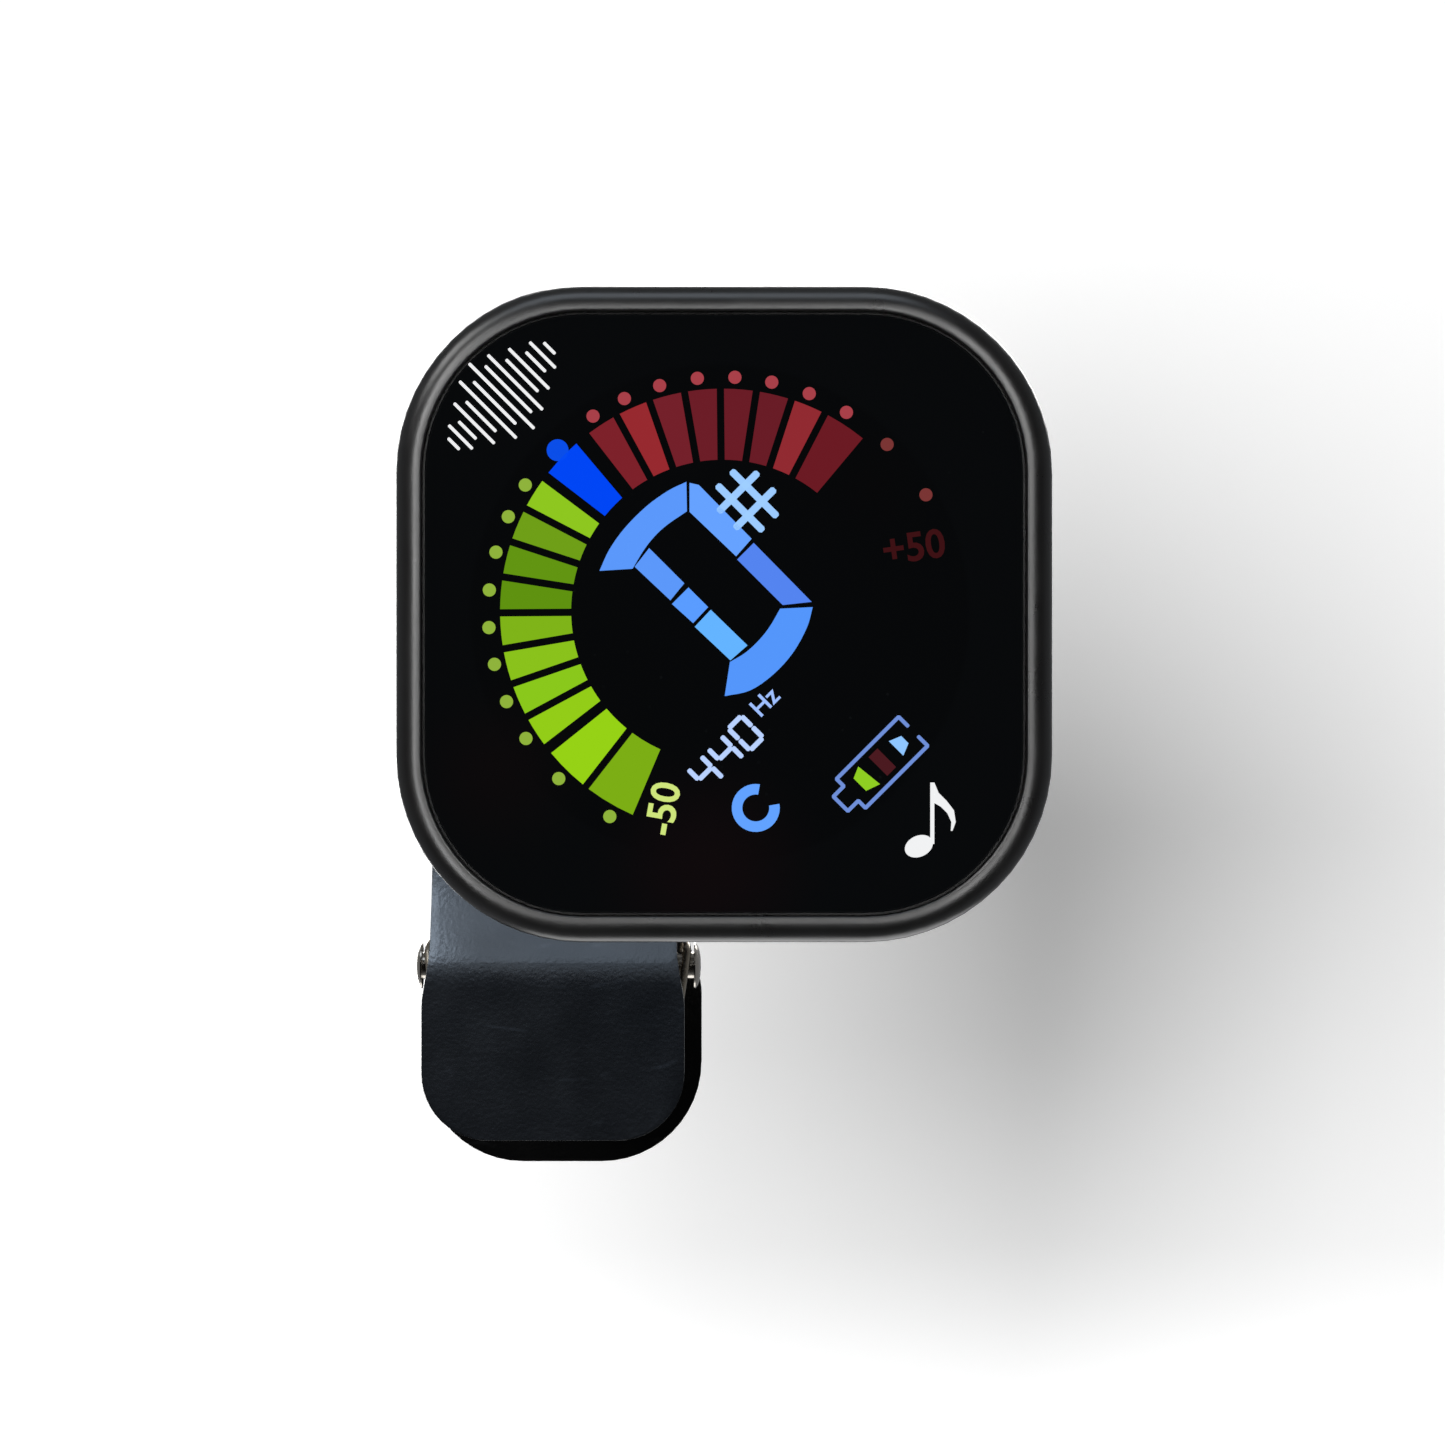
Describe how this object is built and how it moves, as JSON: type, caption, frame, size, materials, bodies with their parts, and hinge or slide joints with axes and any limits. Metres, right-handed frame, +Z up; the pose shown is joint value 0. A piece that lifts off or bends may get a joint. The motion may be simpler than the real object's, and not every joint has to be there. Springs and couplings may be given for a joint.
{
  "type": "clip-on instrument tuner",
  "caption": "Square colour-display tuner head that tilts and swivels on a sprung clip with rubber pads, for the headstock of a guitar or similar instrument.",
  "frame": {"origin": "middle of the front pad's gripping face, where the clip holds a headstock", "axes": "+Y from the display through the pads towards the back of the headstock (the front pad's outward normal), +Z up the display, +X to the right as the display is read"},
  "size_m": [0.0454, 0.0375, 0.0634],
  "materials": {
    "case_black": "satin moulded ABS, fine even gloss",
    "lever_black": "fine spark-textured nylon",
    "pad_rubber": "soft matte silicone",
    "button_rubber": "matte silicone keycap",
    "bright_steel": "nickel-plated steel",
    "spring_steel": "bright drawn music wire",
    "screw_black": "black zinc-plated steel",
    "lens_black": "dark-tinted polished acrylic",
    "display_panel": "glass-faced colour display",
    "clear_acrylic": "clear polished acrylic",
    "white_plastic": "white moulded polycarbonate",
    "tape_black": "black foam adhesive tape",
    "ribbon_film": "amber polyimide film",
    "board_green": "solder-masked glass epoxy",
    "chip_black": "moulded epoxy",
    "cell_foil": "laminated aluminium pouch",
    "piezo_brass": "rolled brass disc",
    "piezo_ceramic": "fired piezo ceramic with a silvered face",
    "lead_red": "red PVC insulation",
    "lead_black": "black PVC insulation"
  },
  "bodies": {
    "clip": {"front_lever": "lever_black", "front_pad": "pad_rubber", "hinge_pin": "bright_steel", "spring_left": "spring_steel", "spring_right": "spring_steel", "tilt_pin": "bright_steel"},
    "rear_jaw": {"rear_lever": "lever_black", "rear_pad": "pad_rubber"},
    "hub": {"swivel_hub": "lever_black", "swivel_washer": "bright_steel", "swivel_screw": "bright_steel"},
    "head": {"front_case": "case_black", "lens": "lens_black", "rear_cover": "case_black", "usb_socket_shell": "bright_steel", "usb_socket_tongue": "chip_black", "cover_screw_1": "screw_black", "cover_screw_2": "screw_black", "cover_screw_3": "screw_black", "cover_screw_4": "screw_black", "cover_screw_5": "screw_black", "lens_tape": "tape_black", "lcd_panel": "display_panel", "backlight_tray": "white_plastic", "light_guide": "clear_acrylic", "backlight_led_strip": "white_plastic", "display_ribbon": "ribbon_film", "main_board": "board_green", "processor_chip": "chip_black", "charger_chip": "chip_black", "battery_tape": "tape_black", "battery_cell": "cell_foil", "battery_lead_red": "lead_red", "battery_lead_black": "lead_black", "piezo_plate": "piezo_brass", "piezo_ceramic": "piezo_ceramic", "piezo_lead_red": "lead_red", "piezo_lead_black": "lead_black", "power_switch_body": "chip_black", "mode_switch_body": "chip_black"},
    "power_button": {"power_button": "button_rubber", "power_switch_plunger": "white_plastic"},
    "mode_button": {"mode_button": "button_rubber", "mode_switch_plunger": "white_plastic"}
  },
  "joints": [
    {"name": "jaw", "type": "hinge", "parent": "clip", "child": "rear_jaw", "pos_m": [0, 0.0023, -0.018], "axis": [-1, 0, 0], "range_deg": [0, 36], "stiffness_Nm_per_rad": 0.08, "springref_deg": -57.3, "deforming": ["spring_left", "spring_right"]},
    {"name": "tilt", "type": "hinge", "parent": "clip", "child": "hub", "pos_m": [0, -0.0099, -0.0048], "axis": [1, 0, 0], "range_deg": [-30, 10]},
    {"name": "swivel", "type": "hinge", "parent": "hub", "child": "head", "pos_m": [0, -0.0134, -0.0048], "axis": [0, 1, 0], "continuous": true},
    {"name": "power_press", "type": "slide", "parent": "head", "child": "power_button", "axis": [0, -1, 0], "range_m": [0, 0.0004], "stiffness_N_per_m": 2000, "springref_m": -0.0003},
    {"name": "mode_press", "type": "slide", "parent": "head", "child": "mode_button", "axis": [0, -1, 0], "range_m": [0, 0.0004], "stiffness_N_per_m": 2000, "springref_m": -0.0003}
  ]
}
